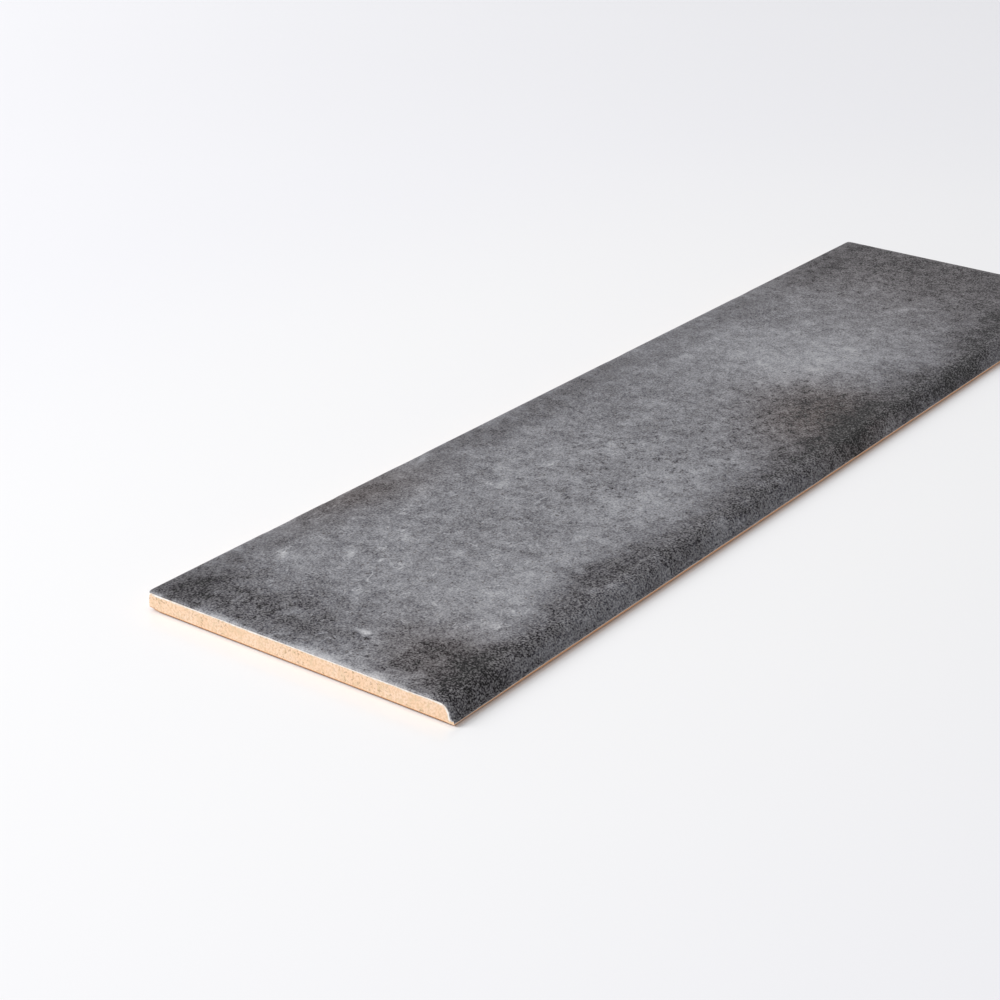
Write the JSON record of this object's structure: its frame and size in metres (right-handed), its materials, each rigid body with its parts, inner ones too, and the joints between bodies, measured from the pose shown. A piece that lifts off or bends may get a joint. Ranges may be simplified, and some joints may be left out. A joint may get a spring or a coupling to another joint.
{
  "type": "bullnose tile",
  "caption": "Long glazed ceramic wall tile with one long edge rounded over, its face falling away gently at the other edges, and a ribbed back, for finishing the exposed edge of a tiled wall.",
  "frame": {"origin": "middle of the tile's outline, on the plane of the back's ribs", "axes": "+X along the length, -Y towards the rounded long edge, +Z out of the glazed face"},
  "size_m": [0.6, 0.15, 0.009],
  "materials": {
    "glazed_tile": "mottled charcoal satin glaze on the face and the rounded edge, bare buff clay on the ends, the plain edge and the back"
  },
  "bodies": {
    "root": {"bullnose_tile": "glazed_tile"}
  },
  "joints": []
}
